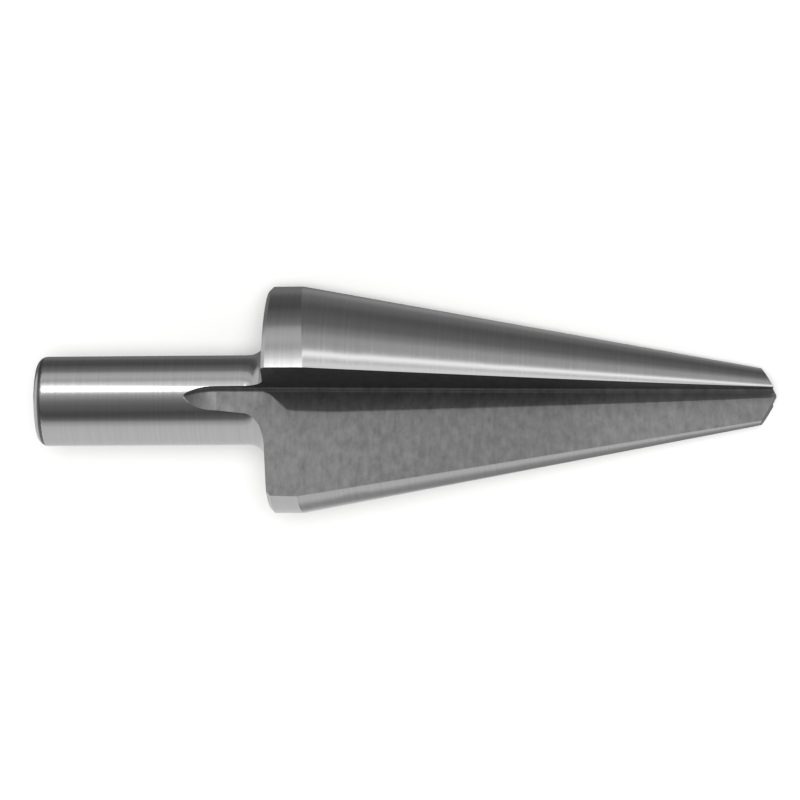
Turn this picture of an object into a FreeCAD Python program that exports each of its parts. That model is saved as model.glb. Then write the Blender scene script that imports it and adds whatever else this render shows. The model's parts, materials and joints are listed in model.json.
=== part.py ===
import FreeCAD, Part
import math
import os

# A cone drill bit: a round shank and a two-flute tapered cutting body, ground from one piece of tool
# steel. Millimetres. It is drawn about its own axis first: X runs from the shank's end to the point,
# and angles go round the axis from +Z towards +Y. It is then laid down as it comes to rest.

# Shank
shank_d = 8.0
shank_len = 21.0            # from the end face to the back face of the cutting body
end_round = 0.9             # rounded edge of the shank's end
root_fillet = 1.8           # where the shank runs into the back face
back_dish = 0.3             # how far the back face falls away from its rim to the fillet

# Cutting body
body_d = 20.2
land_len = 3.7              # parallel stretch behind the taper, measured at a cutting edge
taper_len = 39.75
tip_d = 5.16                # where the point's faces begin
rim_chamfer = 0.35
relief_drop = 0.018         # how far a land falls from its cutting edge to its heel, as a share of radius

# Point
point_angle = 122.0         # between its two flat faces
ridge_angle = 11.0          # where the ridge between them lies, round the axis

# Flutes: two of them, half a turn apart
edge_rise = 0.29            # a cutting edge stands this far off the axis, and a share of the radius more
edge_share = 0.255
heel_angle = -57.5          # the other side of the same flute's mouth, round the axis
groove_start = 13.6         # from the end face to where a flute first marks the shank
run_out = 2.8               # the flute reaches its straight line over this length
run_out_r = 6.5             # the curve on which the grinding wheel leaves the steel
run_out_angle = -42.0       # the way it leaves, round the axis
heel_face_start = 14.4      # the way the heel face looks at the flute's start, round the axis
heel_face_tip = 17.1        # the same at the point
corner_rise_start = 1.14    # the flute's corner above the axis at its start
corner_rise_tip = 0.68      # the same at the point
corner_r = 0.4              # rounding between the rake face and the heel face

lean_lag = 60.0             # how far ahead of its cutting edge a land's cone leans outward
overrun = 4.0               # how far a cutter runs past the steel that it removes

shank_r = shank_d / 2
body_r = body_d / 2
tip_r = tip_d / 2
taper_start = shank_len + land_len
corner_x = taper_start + taper_len
half_point = math.radians(point_angle / 2)
overall_len = corner_x + tip_r / math.tan(half_point)
taper_slope = (body_r - tip_r) / taper_len
apex_x = corner_x + tip_r / taper_slope
straight_start = groove_start + run_out
edge_angle = math.degrees(math.asin(edge_share + edge_rise / body_r))
land_span = 180.0 + heel_angle - edge_angle
mouth_angle = (edge_angle + heel_angle) / 2
lean_angle = edge_angle - lean_lag
lean_share = relief_drop / (math.cos(math.radians(lean_lag)) - math.cos(math.radians(lean_lag + land_span)))
land_lean = lean_share * taper_slope
land_half_angle = math.atan(taper_slope * (1 - lean_share * math.cos(math.radians(lean_lag))))
axis_x = FreeCAD.Vector(1, 0, 0)
origin = FreeCAD.Vector(0, 0, 0)


def around(x, radius, degrees):
    """The point at a radius and an angle round the axis, at a place along it."""
    turn = math.radians(degrees)
    return FreeCAD.Vector(x, radius * math.sin(turn), radius * math.cos(turn))


def taper_r(x):
    """Radius of the cone that the cutting edges lie on."""
    return (apex_x - x) * taper_slope


def heel_r(x):
    """Radius of a land at its heel, where it has fallen by its full relief."""
    return taper_r(x) * (1 - relief_drop)


def turned(points):
    """Solid of revolution about the axis from a closed outline of (x, radius) points.

    A point written as (x, radius, x_mid, radius_mid) is reached by an arc through the middle point."""
    edges = []
    for here, there in zip(points, points[1:] + points[:1]):
        start = FreeCAD.Vector(here[0], here[1], 0)
        end = FreeCAD.Vector(there[0], there[1], 0)
        if len(there) == 4:
            edges.append(Part.Arc(start, FreeCAD.Vector(there[2], there[3], 0), end).toShape())
        else:
            edges.append(Part.makeLine(start, end))
    return Part.Face(Part.Wire(edges)).revolve(origin, axis_x, 360)


def shank():
    """Shank with its rounded end and its fillet, run into the cutting body."""
    quarter_mid = math.sin(math.pi / 4)
    fillet_start = shank_len - back_dish - root_fillet
    fillet_mid_x = fillet_start + root_fillet * quarter_mid
    fillet_mid_r = shank_r + root_fillet * (1 - quarter_mid)
    round_mid_x = end_round * (1 - quarter_mid)
    round_mid_r = shank_r - end_round * (1 - quarter_mid)
    buried = shank_len + land_len / 2
    return turned([
        (0, 0),
        (0, shank_r - end_round),
        (end_round, shank_r, round_mid_x, round_mid_r),
        (fillet_start, shank_r),
        (shank_len - back_dish, shank_r + root_fillet, fillet_mid_x, fillet_mid_r),
        (buried, shank_r + root_fillet),
        (buried, 0),
    ])


def half_space(half_turn):
    """The side of the axis that holds one land; its faces lie in the mouths of the two flutes."""
    size = 4 * (overall_len + body_d)
    block = Part.makeBox(size, size, size, FreeCAD.Vector(-size / 2, 0, -size / 2))
    block.rotate(origin, axis_x, half_turn - mouth_angle)
    return block


def land_cone(half_turn):
    """Full cone of one land, leaning a little from the bit's axis so that the land is relieved."""
    reach = apex_x - shank_len + overrun
    lean = around(0, math.sin(land_lean), lean_angle + half_turn)
    towards_shank = FreeCAD.Vector(-math.cos(land_lean), lean.y, lean.z)
    return Part.makeCone(0, reach * math.tan(land_half_angle), reach,
                         FreeCAD.Vector(apex_x, 0, 0), towards_shank)


def point_roof():
    """Two flat faces that meet in a ridge across the axis and fall away behind the lips."""
    reach = overall_len + overrun
    ridge = around(0, reach, ridge_angle)
    across = around(0, reach * math.tan(half_point), ridge_angle + 90)
    tip = FreeCAD.Vector(overall_len, 0, 0) - ridge
    foot = FreeCAD.Vector(-overrun, 0, 0) - ridge
    gable = Part.Wire(Part.makePolygon([tip, foot + across, foot - across, tip]))
    return Part.Face(gable).extrude(ridge * 2)


def cutting_body():
    """Relieved taper held within the parallel land's cylinder and under the faces of the point."""
    beyond = overall_len + overrun / 4
    halves = [land_cone(turn).common(half_space(turn)) for turn in (0, 180)]
    taper = halves[0].fuse(halves[1])
    land = turned([
        (shank_len - back_dish, 0),
        (shank_len - back_dish, shank_r + root_fillet),
        (shank_len, body_r - rim_chamfer),
        (shank_len + rim_chamfer, body_r),
        (beyond, body_r),
        (beyond, 0),
    ])
    return taper.common(land).common(point_roof())


def edge_point(x, half_turn=0):
    """Where a cutting edge lies at a place along the axis."""
    rise = edge_rise + edge_share * taper_r(x)
    return around(x, taper_r(x), math.degrees(math.asin(rise / taper_r(x))) + half_turn)


def flute_section(x):
    """Outline of what one flute removes at a place along the axis: rake face, corner and heel face."""
    share = (x - straight_start) / (overall_len - straight_start)
    heel_face = heel_face_start + (heel_face_tip - heel_face_start) * share
    corner_rise = corner_rise_start + (corner_rise_tip - corner_rise_start) * share

    heel = around(x, heel_r(x), heel_angle)
    up_heel_face = around(0, 1, heel_face + 90)
    corner = heel + up_heel_face * ((corner_rise - heel.y) / up_heel_face.y)
    rake = (edge_point(x) - corner).normalize()
    down = up_heel_face * -1

    half_corner = rake.getAngle(down) / 2
    inward = (rake + down).normalize()
    reach = corner_r / math.tan(half_corner)
    heel_face_end = corner + down * reach
    rake_end = corner + rake * reach
    corner_mid = corner + inward * (corner_r / math.sin(half_corner) - corner_r)

    outside = 2 * (taper_r(x) + overrun)
    rake_out = corner + rake * outside
    heel_out = corner + down * outside
    mouth_out = around(x, 2 * outside, mouth_angle)
    return Part.Wire([
        Part.Arc(heel_face_end, corner_mid, rake_end).toShape(),
        Part.makeLine(rake_end, rake_out),
        Part.makeLine(rake_out, mouth_out),
        Part.makeLine(mouth_out, heel_out),
        Part.makeLine(heel_out, heel_face_end),
    ])


def run_out_section(before):
    """Outline of what the lifting wheel removes, at a length before the flute's straight stretch."""
    lift = run_out_r - math.sqrt(run_out_r ** 2 - before ** 2)
    section = flute_section(straight_start)
    section.translate(around(-before, lift, run_out_angle))
    return section


def flute(half_turn):
    """Everything that one flute takes away, from where it marks the shank to past the point."""
    past = flute_section(overall_len + overrun / 4)
    straight = Part.makeLoft([flute_section(straight_start), past], True, True)
    curve = [run_out_section(run_out * share) for share in (1.6, 1.2, 0.8, 0.4, 0)]
    cut = Part.makeLoft(curve, True, False).fuse(straight)
    cut.rotate(origin, axis_x, half_turn)
    return cut


def rest_placement():
    """Turn that lays the bit on the heel of its lower flute and on the rear of that flute's edge."""
    edge_line = edge_point(taper_start, 180) - FreeCAD.Vector(apex_x, 0, 0)
    heel_line = around(corner_x, heel_r(corner_x), heel_angle + 180) - FreeCAD.Vector(apex_x, 0, 0)
    up = edge_line.cross(heel_line).normalize()
    if up.z < 0:
        up = up * -1
    ahead = (axis_x - up * axis_x.dot(up)).normalize()
    across = up.cross(ahead)
    return FreeCAD.Placement(origin, FreeCAD.Rotation(ahead, across, up, "ZXY").inverted())


bit = shank().fuse(cutting_body())
for half_turn in (0, 180):
    bit = bit.cut(flute(half_turn))
bit = bit.removeSplitter()
bit.Placement = rest_placement()

# The origin is on the ground, below the middle of the laid-down bit.
box = bit.optimalBoundingBox(False)
bit.translate(FreeCAD.Vector(-(box.XMin + box.XMax) / 2, -(box.YMin + box.YMax) / 2, -box.ZMin))

os.makedirs("parts", exist_ok=True)
bit.exportStep("parts/cone_drill_bit.step")
print("volume", round(bit.Volume, 1), "solids", len(bit.Solids), "valid", bit.isValid(),
      "box", [round(v, 2) for v in (box.XLength, box.YLength, box.ZLength)])
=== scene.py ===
import json
import math

import bpy
from mathutils import Matrix, Vector

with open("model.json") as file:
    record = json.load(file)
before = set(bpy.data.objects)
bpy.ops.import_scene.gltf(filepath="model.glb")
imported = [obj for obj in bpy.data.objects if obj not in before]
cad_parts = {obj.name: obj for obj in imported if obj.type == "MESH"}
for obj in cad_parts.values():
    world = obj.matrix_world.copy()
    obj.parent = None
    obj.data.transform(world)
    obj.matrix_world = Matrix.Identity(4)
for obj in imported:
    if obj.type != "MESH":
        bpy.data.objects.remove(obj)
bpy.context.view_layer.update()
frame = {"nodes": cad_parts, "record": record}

MM = 0.001

# How the bit lies: its axis dips towards the point, and it is rolled onto one flute. Three directions
# go with it: along its axis, out of the flute that lies open, and towards the land above that flute.
shank_mount = frame["record"]["mounts"][0]
bit_axis = -Vector(shank_mount["axis"])
bit_roll = math.radians(21.20)
level_left = Vector((0, 0, 1)).cross(bit_axis).normalized()
steep_up = bit_axis.cross(level_left)
flute_side = steep_up * math.cos(bit_roll) + level_left * math.sin(bit_roll)
land_side = flute_side.cross(bit_axis)

# The bit's own sizes, in millimetres, with lengths taken from the shank's end face.
shank_r = shank_mount["dims"]["r_mm"]
end_round = 0.9
shank_len = 21.0
body_r = 10.1
taper_start = 24.7
taper_len = 39.75
tip_r = 2.58
cone_slope = (body_r - tip_r) / taper_len
cone_apex = taper_start + body_r / cone_slope
mount_to_end = (shank_mount["dims"]["length_mm"] / 2 + end_round) * MM
end_face_centre = Vector(shank_mount["pos_m"]) - bit_axis * mount_to_end

# Camera: square to the open flute, a little towards the point, with the bit's axis nearly level.
aim_along = 32.47 * MM
aim_below = 0.085 * MM
camera_distance = 400 * MM
camera_yaw = math.radians(4.5)
axis_rise = math.radians(0.38)
focal_pixels = 4490          # the focal length in pixels of the photograph
photo_width = 800
sensor_width = 36.0

# The studio that the steel mirrors, in bands along the bit, by degrees round its axis from the flute's
# side towards the upper land, with each band's brightness. Straight surfaces see the first set.
brightest = 2.0
beside_straight = [
    (-180, 0.70), (-98, 0.76), (-72, 0.72), (-60, 0.52), (-48, 0.16), (-38, 0.09), (-15, 0.16),
    (-3, 0.22), (10, 0.38), (20, 0.50), (30, 0.80), (36, 1.1), (43, 0.92), (49, 0.70), (54, 0.50),
    (64, 0.66), (74, 0.60), (84, 0.24), (98, 0.16), (108, 0.10), (126, 0.12), (145, 0.22), (180, 0.15),
]
# The cone leans towards the point, so it sees the far end of the same lights.
beside_cone = [
    (-180, 0.18), (-160, 0.24), (-142, 0.32), (-124, 0.70), (-112, 0.60), (-98, 0.70), (-72, 0.72),
    (-60, 0.52), (-48, 0.16), (-38, 0.09), (-15, 0.16), (8, 0.33), (28, 0.70), (37, 1.25), (42, 0.62),
    (49, 1.90), (54, 0.56), (58, 0.50), (68, 0.50), (78, 0.30), (88, 0.18), (112, 0.13), (130, 0.20),
    (155, 0.36), (180, 0.30),
]
# A mirrored ray's part along the bit tells which surface sent it: straight ones send it back towards
# the shank, and the cone sends it towards the point.
straight_ray = -0.07
cone_ray = 0.02
# Beyond the shank's end stands a plain pale panel, which the end face and the root fillet pick up.
panel_brightness = 0.7
panel_rim = -0.70
panel_inner = -0.85

room_colour = "#F6F6F6"
room_strength = 0.60
backdrop_colour = "#FDFDFD"

soft_box_width = 0.4         # metres
soft_box_distance = 1.3      # metres
soft_box_watts = 14

key_strength = 0.85
key_spread = math.radians(2.0)
key_way = flute_side * 0.826 + land_side * 0.512 - bit_axis * 0.237

floor_reach = 3.0            # metres

# What tells a flute from the turned surfaces beside it. A surface's facing is the part of its direction
# that points round the bit, or along it, from 0 to 1.
flute_facing = (0.15, 0.30)  # round the bit: a turned surface up to the first, a flute from the second
end_facing = (0.5, 0.6)      # along the bit: an end or the point from the second on
flute_depth = 0.955          # deeper than this share of the body's outline is in a flute
shank_depth = 0.03           # and so is what lies this far under the shank's, in millimetres
seam = 0.03                  # millimetres kept clear of the edge between two surfaces
point_facing = 0.35          # the faces of the point look along the bit by more than this


def linear(hex_colour):
    """An sRGB hex colour as the linear red, green, blue and alpha that the shaders take."""
    shades = [int(hex_colour[i:i + 2], 16) / 255 for i in (1, 3, 5)]
    return [s / 12.92 if s <= 0.04045 else ((s + 0.055) / 1.055) ** 2.4 for s in shades] + [1.0]


def node(tree, kind, inputs=None, output=0, **settings):
    """Adds a node and gives one of its outputs; inputs are plain values or other nodes' outputs.

    Sockets go by name or by number. On a Mix node 0 is the share, 2 and 3 are numbers, 4 and 5 are
    vectors, and 6 and 7 are colours, with the results at 0, 1 and 2. On a Map Range node 0 is the
    value, 1 and 2 are the range that it comes from, and 3 and 4 the range that it goes to."""
    made = tree.nodes.new(kind)
    for name, value in settings.items():
        setattr(made, name, value)
    for socket, value in (inputs or {}).items():
        if isinstance(value, bpy.types.NodeSocket):
            tree.links.new(value, made.inputs[socket])
        else:
            made.inputs[socket].default_value = value
    return made.outputs[output]


def make_camera():
    """The photograph's view: a long lens that looks down on the bit where it lies."""
    back = flute_side * math.cos(camera_yaw) + bit_axis * math.sin(camera_yaw)
    level = bit_axis * math.cos(camera_yaw) - flute_side * math.sin(camera_yaw)
    right = level * math.cos(axis_rise) - land_side * math.sin(axis_rise)
    up = back.cross(right)
    aim = end_face_centre + bit_axis * aim_along - up * aim_below
    data = bpy.data.cameras.new("photo_camera")
    data.sensor_width = sensor_width
    data.lens = sensor_width * focal_pixels / photo_width
    camera = bpy.data.objects.new("photo_camera", data)
    turn = Matrix((right, up, back)).transposed().to_4x4()
    camera.matrix_world = Matrix.Translation(aim + back * camera_distance) @ turn
    bpy.context.scene.collection.objects.link(camera)
    bpy.context.scene.camera = camera


def bands(tree, angle, stops):
    """Soft bands of light round the bit, from stops that begin at -180 degrees and end at 180."""
    turn = node(tree, "ShaderNodeMapRange", {0: angle, 1: -math.pi, 2: math.pi, 3: 0.0, 4: 1.0})
    made = tree.nodes.new("ShaderNodeValToRGB")
    tree.links.new(turn, made.inputs[0])
    ramp = made.color_ramp
    ramp.interpolation = "EASE"
    for degrees, brightness in stops[1:-1]:
        ramp.elements.new((degrees + 180) / 360)
    for element, (degrees, brightness) in zip(ramp.elements, stops):
        shade = brightness / brightest
        element.color = (shade, shade, shade, 1)
    return made.outputs[0]


def make_studio():
    """World light, told apart by the kind of ray. The steel mirrors the bands, matt surfaces get an even
    room light, which keeps the card white under dark bands, and the camera sees a pale backdrop."""
    world = bpy.data.worlds.new("studio")
    bpy.context.scene.world = world
    world.use_nodes = True
    tree = world.node_tree
    tree.nodes.clear()
    way = node(tree, "ShaderNodeTexCoord", output="Generated")
    to_flute, to_land, to_point = [
        node(tree, "ShaderNodeVectorMath", {0: way, 1: side}, "Value", operation="DOT_PRODUCT")
        for side in (flute_side, land_side, bit_axis)
    ]
    angle = node(tree, "ShaderNodeMath", {0: to_land, 1: to_flute}, operation="ARCTAN2")
    straight = bands(tree, angle, beside_straight)
    cone = bands(tree, angle, beside_cone)
    by_cone = node(tree, "ShaderNodeMapRange", {0: to_point, 1: straight_ray, 2: cone_ray},
                   interpolation_type="SMOOTHSTEP")
    mirrored = node(tree, "ShaderNodeMix", {0: by_cone, 6: straight, 7: cone}, 2, data_type="RGBA")
    by_panel = node(tree, "ShaderNodeMapRange", {0: to_point, 1: panel_rim, 2: panel_inner},
                    interpolation_type="SMOOTHSTEP")
    panel = (panel_brightness / brightest,) * 3 + (1,)
    mirrored = node(tree, "ShaderNodeMix", {0: by_panel, 6: mirrored, 7: panel}, 2, data_type="RGBA")
    studio = node(tree, "ShaderNodeBackground", {0: mirrored, 1: brightest})
    room = node(tree, "ShaderNodeBackground", {0: linear(room_colour), 1: room_strength})
    backdrop = node(tree, "ShaderNodeBackground", {0: linear(backdrop_colour), 1: 1.0})
    on_steel = node(tree, "ShaderNodeLightPath", output="Is Glossy Ray")
    seen = node(tree, "ShaderNodeLightPath", output="Is Camera Ray")
    around = node(tree, "ShaderNodeMixShader", {0: on_steel, 1: room, 2: studio})
    both = node(tree, "ShaderNodeMixShader", {0: seen, 1: around, 2: backdrop})
    world_end = tree.nodes.new("ShaderNodeOutputWorld")
    tree.links.new(both, world_end.inputs[0])


def make_soft_box():
    """A broad light in line with the camera, so that the bit hides most of its own shadow on the card.
    The steel doesn't mirror it, and keeps its bands."""
    data = bpy.data.lights.new("soft_box", "AREA")
    data.shape = "RECTANGLE"
    data.size = soft_box_width
    data.size_y = soft_box_width
    data.energy = soft_box_watts
    light = bpy.data.objects.new("soft_box", data)
    towards = flute_side + bit_axis * math.tan(camera_yaw)
    light.location = towards * soft_box_distance
    light.rotation_euler = towards.to_track_quat("Z", "Y").to_euler()
    light.visible_glossy = False
    bpy.context.scene.collection.objects.link(light)


def make_key_lamp():
    """A small bright lamp up and behind: it draws the highlight along the shank and lights the flute,
    where the upper land throws a crisp shadow. It leaves the card alone, which has no hard shadow."""
    data = bpy.data.lights.new("key_lamp", "SUN")
    data.energy = key_strength
    data.angle = key_spread
    lamp = bpy.data.objects.new("key_lamp", data)
    lamp.rotation_euler = key_way.to_track_quat("Z", "Y").to_euler()
    lamp.visible_diffuse = False
    bpy.context.scene.collection.objects.link(lamp)


def make_floor():
    """A sheet of matt white card, which gives the eye an even pale ground with no sheen. It stays out of
    the steel's reflections."""
    mesh = bpy.data.meshes.new("floor")
    corners = [(x * floor_reach, y * floor_reach, 0) for x, y in ((-1, -1), (1, -1), (1, 1), (-1, 1))]
    mesh.from_pydata(corners, [], [(0, 1, 2, 3)])
    floor = bpy.data.objects.new("floor", mesh)
    bpy.context.scene.collection.objects.link(floor)
    floor.visible_glossy = False
    material = bpy.data.materials.new("matt white card")
    material.use_nodes = True
    shader = material.node_tree.nodes["Principled BSDF"]
    shader.inputs["Base Color"].default_value = linear("#F2F2F1")
    shader.inputs["Roughness"].default_value = 0.9
    shader.inputs["Specular IOR Level"].default_value = 0.0
    mesh.materials.append(material)


def place_on_bit(tree):
    """Where a point lies on the bit, in millimetres, and which way its surface faces there."""
    here = node(tree, "ShaderNodeTexCoord", output="Object")
    from_end = node(tree, "ShaderNodeVectorMath", {0: here, 1: end_face_centre}, operation="SUBTRACT")
    in_mm = node(tree, "ShaderNodeVectorMath", {0: from_end, "Scale": 1 / MM}, operation="SCALE")
    faces = node(tree, "ShaderNodeNewGeometry", output="Normal")
    place = {"faces": faces}
    for name, vector in (("", in_mm), ("facing_", faces)):
        for side, way in (("along", bit_axis), ("flute", flute_side), ("land", land_side)):
            place[name + side] = node(tree, "ShaderNodeVectorMath", {0: vector, 1: way}, "Value",
                                      operation="DOT_PRODUCT")
    out = node(tree, "ShaderNodeCombineXYZ", {0: place["flute"], 1: place["land"]})
    place["radius"] = node(tree, "ShaderNodeVectorMath", {0: out}, "Value", operation="LENGTH")
    place["angle"] = node(tree, "ShaderNodeMath", {0: place["land"], 1: place["flute"]},
                          operation="ARCTAN2")
    out_way = node(tree, "ShaderNodeVectorMath", {0: out}, operation="NORMALIZE")
    across = [node(tree, "ShaderNodeSeparateXYZ", {0: out_way}, part) for part in (0, 1)]
    across = [node(tree, "ShaderNodeVectorMath", {0: side, "Scale": part}, operation="SCALE")
              for side, part in zip((flute_side, land_side), across)]
    place["out_way"] = node(tree, "ShaderNodeVectorMath", {0: across[0], 1: across[1]}, operation="ADD")
    faces_flat = node(tree, "ShaderNodeCombineXYZ", {0: place["facing_flute"], 1: place["facing_land"]})
    sideways = node(tree, "ShaderNodeVectorMath", {0: out_way, 1: faces_flat}, operation="CROSS_PRODUCT")
    place["facing_round"] = node(tree, "ShaderNodeVectorMath", {0: sideways}, "Value", operation="LENGTH")
    return place


def flute_mask(tree, place):
    """1 inside a flute and 0 elsewhere: there a surface faces round the bit, or lies well under the
    turned outline, and doesn't face along the bit."""
    faces_round = node(tree, "ShaderNodeMapRange",
                       {0: place["facing_round"], 1: flute_facing[0], 2: flute_facing[1]})
    on_shank = node(tree, "ShaderNodeMath", {0: place["along"], 1: shank_len - seam},
                    operation="LESS_THAN")
    to_apex = node(tree, "ShaderNodeMath", {0: cone_apex, 1: place["along"]}, operation="SUBTRACT")
    cone_r = node(tree, "ShaderNodeMath", {0: to_apex, 1: cone_slope}, operation="MULTIPLY")
    body_outline = node(tree, "ShaderNodeMath", {0: cone_r, 1: body_r}, operation="MINIMUM")
    body_limit = node(tree, "ShaderNodeMath", {0: body_outline, 1: flute_depth}, operation="MULTIPLY")
    limit = node(tree, "ShaderNodeMix", {0: on_shank, 2: body_limit, 3: shank_r - shank_depth})
    under = node(tree, "ShaderNodeMath", {0: place["radius"], 1: limit}, operation="LESS_THAN")
    either = node(tree, "ShaderNodeMath", {0: faces_round, 1: under}, operation="MAXIMUM")
    either_end = node(tree, "ShaderNodeMath", {0: place["facing_along"]}, operation="ABSOLUTE")
    ends = node(tree, "ShaderNodeMapRange", {0: either_end, 1: end_facing[0], 2: end_facing[1]})
    return node(tree, "ShaderNodeMath", {0: either, 1: ends}, operation="SUBTRACT", use_clamp=True)


def flute_finish(tree, place):
    """Colour and roughness in a flute: off the coarse wheel, so the eye gets a dull mottled grey with
    short soft scratches across the flute. Towards the point it is rougher, and its colour is painted
    lighter there, which lifts the dark shade in the flute near the point."""
    point_lift_from = 44.0        # millimetres from the shank's end
    point_lift_all = 56.0
    mottles_per_mm = 1.5
    mottle_stretch = (1.0, 0.62, 0.62)
    # Real scratches are some hundredths of a millimetre apart, which is finer than a pixel. They are
    # drawn about a quarter of a millimetre apart, so that they show.
    scratches_per_mm = 3.6
    scratch_stretch = (1.0, 0.16, 0.16)
    scratch_share = 0.25

    # Painted light: the colour grows lighter towards the point, standing in for the flute's shade lifting
    # there. The roughness grows there too.
    point_lift = node(tree, "ShaderNodeMapRange", {0: place["along"], 1: point_lift_from, 2: point_lift_all},
                 interpolation_type="SMOOTHSTEP")
    colour = node(tree, "ShaderNodeMix", {0: point_lift, 6: linear("#656565"), 7: linear("#7A7A7A")}, 2,
                  data_type="RGBA")
    rough = node(tree, "ShaderNodeMix", {0: point_lift, 2: 0.35, 3: 0.50})

    in_flute = node(tree, "ShaderNodeCombineXYZ", {0: place["along"], 1: place["land"], 2: place["flute"]})
    stretched = node(tree, "ShaderNodeVectorMath", {0: in_flute, 1: mottle_stretch}, operation="MULTIPLY")
    mottle = node(tree, "ShaderNodeTexNoise",
                  {"Vector": stretched, "Scale": mottles_per_mm, "Detail": 3.0, "Roughness": 0.6})
    drawn_out = node(tree, "ShaderNodeVectorMath", {0: in_flute, 1: scratch_stretch}, operation="MULTIPLY")
    scratches = node(tree, "ShaderNodeTexNoise",
                     {"Vector": drawn_out, "Scale": scratches_per_mm, "Detail": 2.0})
    grain = node(tree, "ShaderNodeMix", {0: scratch_share, 2: mottle, 3: scratches})
    shade = node(tree, "ShaderNodeMapRange", {0: grain, 1: 0.33, 2: 0.67, 3: 0.80, 4: 1.20}, clamp=False)
    return node(tree, "ShaderNodeVectorMath", {0: colour, "Scale": shade}, operation="SCALE"), rough


def turned_finish(tree, place):
    """Colour and roughness of the shank, the land and the cone: off the fine wheel as the bit turns, so
    the eye gets bright steel with faint rings and long clean highlights."""
    # Real rings are some hundredths of a millimetre wide, which is finer than a pixel. They are drawn
    # about a fifth of a millimetre wide, so that they show.
    rings_per_mm = 5.0
    ring_stretch = (1.0, 0.06, 0.0)

    on_skin = node(tree, "ShaderNodeCombineXYZ", {0: place["along"], 1: place["angle"]})
    drawn_out = node(tree, "ShaderNodeVectorMath", {0: on_skin, 1: ring_stretch}, operation="MULTIPLY")
    rings = node(tree, "ShaderNodeTexNoise",
                 {"Vector": drawn_out, "Scale": rings_per_mm, "Detail": 4.0, "Roughness": 0.7})
    shade = node(tree, "ShaderNodeMapRange", {0: rings, 1: 0.3, 2: 0.7, 3: 0.95, 4: 1.05}, clamp=False)
    colour = node(tree, "ShaderNodeVectorMath", {0: linear("#C5C5C5")[:3], "Scale": shade},
                  operation="SCALE")
    rough = node(tree, "ShaderNodeMapRange", {0: rings, 1: 0.3, 2: 0.7, 3: 0.14, 4: 0.19}, clamp=False)
    return colour, rough


def true_facing(tree, place, fluted):
    """Which way the surface faces, with the cone exactly square to its own slope. The mesh's long thin
    facets would put waves in the highlight beside the cutting edge."""
    away = node(tree, "ShaderNodeVectorMath", {0: bit_axis * cone_slope, 1: place["out_way"]},
                operation="ADD")
    square_to_cone = node(tree, "ShaderNodeVectorMath", {0: away}, operation="NORMALIZE")
    past_land = node(tree, "ShaderNodeMath", {0: place["along"], 1: taper_start + seam},
                     operation="GREATER_THAN")
    before_point = node(tree, "ShaderNodeMath", {0: place["facing_along"], 1: point_facing},
                        operation="LESS_THAN")
    on_cone = node(tree, "ShaderNodeMath", {0: past_land, 1: before_point}, operation="MULTIPLY")
    turned = node(tree, "ShaderNodeMath", {0: on_cone, 1: fluted}, operation="SUBTRACT", use_clamp=True)
    return node(tree, "ShaderNodeMix", {0: turned, 4: place["faces"], 5: square_to_cone}, 1,
                data_type="VECTOR")


def make_steel():
    """Hardened tool steel, ground bright all over: fine on the turned surfaces, coarse in the flutes."""
    material = bpy.data.materials.new("bright ground tool steel")
    material.use_nodes = True
    tree = material.node_tree
    shader = tree.nodes["Principled BSDF"]
    place = place_on_bit(tree)
    fluted = flute_mask(tree, place)
    flute_colour, flute_rough = flute_finish(tree, place)
    turned_colour, turned_rough = turned_finish(tree, place)
    colour = node(tree, "ShaderNodeMix", {0: fluted, 4: turned_colour, 5: flute_colour}, 1,
                  data_type="VECTOR")
    rough = node(tree, "ShaderNodeMix", {0: fluted, 2: turned_rough, 3: flute_rough})
    # The scratched flutes scatter a little light all round, so they look hazy where nothing bright is
    # mirrored. A tenth of their shine is plain grey for that.
    metallic = node(tree, "ShaderNodeMapRange", {0: fluted, 3: 1.0, 4: 0.9})
    tree.links.new(colour, shader.inputs["Base Color"])
    tree.links.new(rough, shader.inputs["Roughness"])
    tree.links.new(metallic, shader.inputs["Metallic"])
    tree.links.new(true_facing(tree, place, fluted), shader.inputs["Normal"])
    frame["nodes"]["cone_drill_bit"].material_slots[0].material = material


bpy.context.scene.view_settings.view_transform = "Standard"
make_camera()
make_studio()
make_soft_box()
make_key_lamp()
make_floor()
make_steel()
